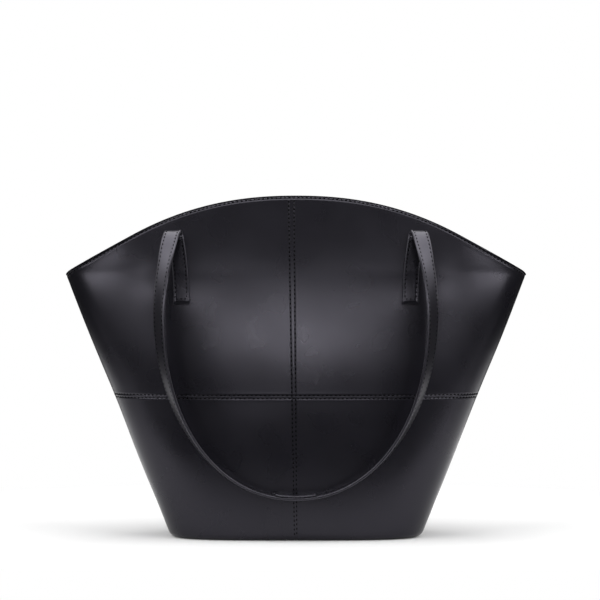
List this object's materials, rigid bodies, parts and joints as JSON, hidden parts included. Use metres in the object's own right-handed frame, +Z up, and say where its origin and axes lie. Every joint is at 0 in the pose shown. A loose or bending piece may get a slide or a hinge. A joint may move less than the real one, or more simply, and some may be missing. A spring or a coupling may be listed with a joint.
{
  "type": "tote bag",
  "caption": "Open-topped leather tote bag, its wide arched mouth tapering to a narrow base, sewn from panels and lined, with flat shoulder straps that swing up at front and back.",
  "frame": {"origin": "centre of the base on the surface that the bag stands on", "axes": "+X to the right as the front is seen, +Y from the front to the back, +Z up"},
  "size_m": [0.461, 0.178, 0.3365],
  "materials": {
    "shell_leather": "smooth black semi-matte leather",
    "facing_leather": "smooth black leather facing inside the mouth",
    "strap_leather": "smooth black leather with painted edges and black stitching",
    "lining_fabric": "black twill lining",
    "stiffener_board": "pressed fibre board, hidden between the layers"
  },
  "bodies": {
    "bag": {"front_upper_left_panel": "shell_leather", "front_upper_right_panel": "shell_leather", "front_lower_left_panel": "shell_leather", "front_lower_right_panel": "shell_leather", "back_upper_left_panel": "shell_leather", "back_upper_right_panel": "shell_leather", "back_lower_left_panel": "shell_leather", "back_lower_right_panel": "shell_leather", "base_panel": "shell_leather", "front_facing": "facing_leather", "back_facing": "facing_leather", "front_lining": "lining_fabric", "back_lining": "lining_fabric", "base_lining": "lining_fabric", "base_board": "stiffener_board", "front_mouth_stiffener": "stiffener_board", "back_mouth_stiffener": "stiffener_board", "front_left_strap_patch": "stiffener_board", "front_right_strap_patch": "stiffener_board", "back_left_strap_patch": "stiffener_board", "back_right_strap_patch": "stiffener_board", "front_left_strap_end": "strap_leather", "front_right_strap_end": "strap_leather", "back_left_strap_end": "strap_leather", "back_right_strap_end": "strap_leather"},
    "front_strap": {"front_strap_face": "strap_leather", "front_strap_backing": "strap_leather", "front_strap_splice": "strap_leather", "front_left_strap_fold": "strap_leather", "front_right_strap_fold": "strap_leather"},
    "back_strap": {"back_strap_face": "strap_leather", "back_strap_backing": "strap_leather", "back_strap_splice": "strap_leather", "back_left_strap_fold": "strap_leather", "back_right_strap_fold": "strap_leather"}
  },
  "joints": [
    {"name": "front_strap_swing", "type": "hinge", "parent": "bag", "child": "front_strap", "pos_m": [0, -0.056, 0.291], "axis": [-1, 0, 0], "range_deg": [0, 170], "deforming": ["front_left_strap_fold", "front_right_strap_fold"]},
    {"name": "back_strap_swing", "type": "hinge", "parent": "bag", "child": "back_strap", "pos_m": [0, 0.056, 0.291], "axis": [1, 0, 0], "range_deg": [0, 170], "deforming": ["back_left_strap_fold", "back_right_strap_fold"]}
  ]
}
